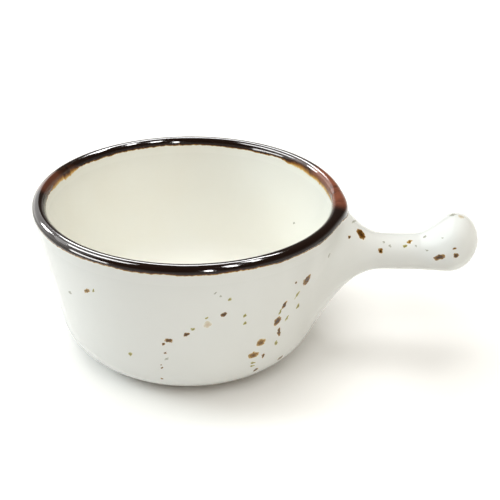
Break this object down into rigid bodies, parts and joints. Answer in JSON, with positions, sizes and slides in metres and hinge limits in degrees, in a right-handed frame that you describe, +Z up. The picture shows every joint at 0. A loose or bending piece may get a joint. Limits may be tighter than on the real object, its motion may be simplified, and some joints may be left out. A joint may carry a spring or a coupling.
{
  "type": "sauce dish",
  "caption": "Round stoneware sauce dish with leaning sides, a flared stick handle ending in a knob, speckled white glaze and a brown glazed lip; holds a serving of sauce or soup.",
  "frame": {"origin": "on the bowl's axis, in the plane of the foot ring that the dish stands on", "axes": "+X along the handle, away from the bowl; +Z up, out of the bowl's mouth"},
  "size_m": [0.1539, 0.108, 0.0585],
  "materials": {
    "stoneware": "bare fired stoneware, matt and slightly grainy",
    "joining_slip": "fired joining slip, matt",
    "white_glaze": "glossy white glaze with small brown and olive flecks",
    "cream_glaze": "glossy cream-white glaze",
    "brown_glaze": "glossy iron-brown glaze that thins to amber at its edges"
  },
  "bodies": {
    "root": {"bowl_body": "stoneware", "handle": "stoneware", "handle_slip": "joining_slip", "inner_glaze": "cream_glaze", "outer_glaze": "white_glaze", "handle_glaze": "white_glaze", "base_glaze": "white_glaze", "rim_glaze": "brown_glaze"}
  },
  "joints": []
}
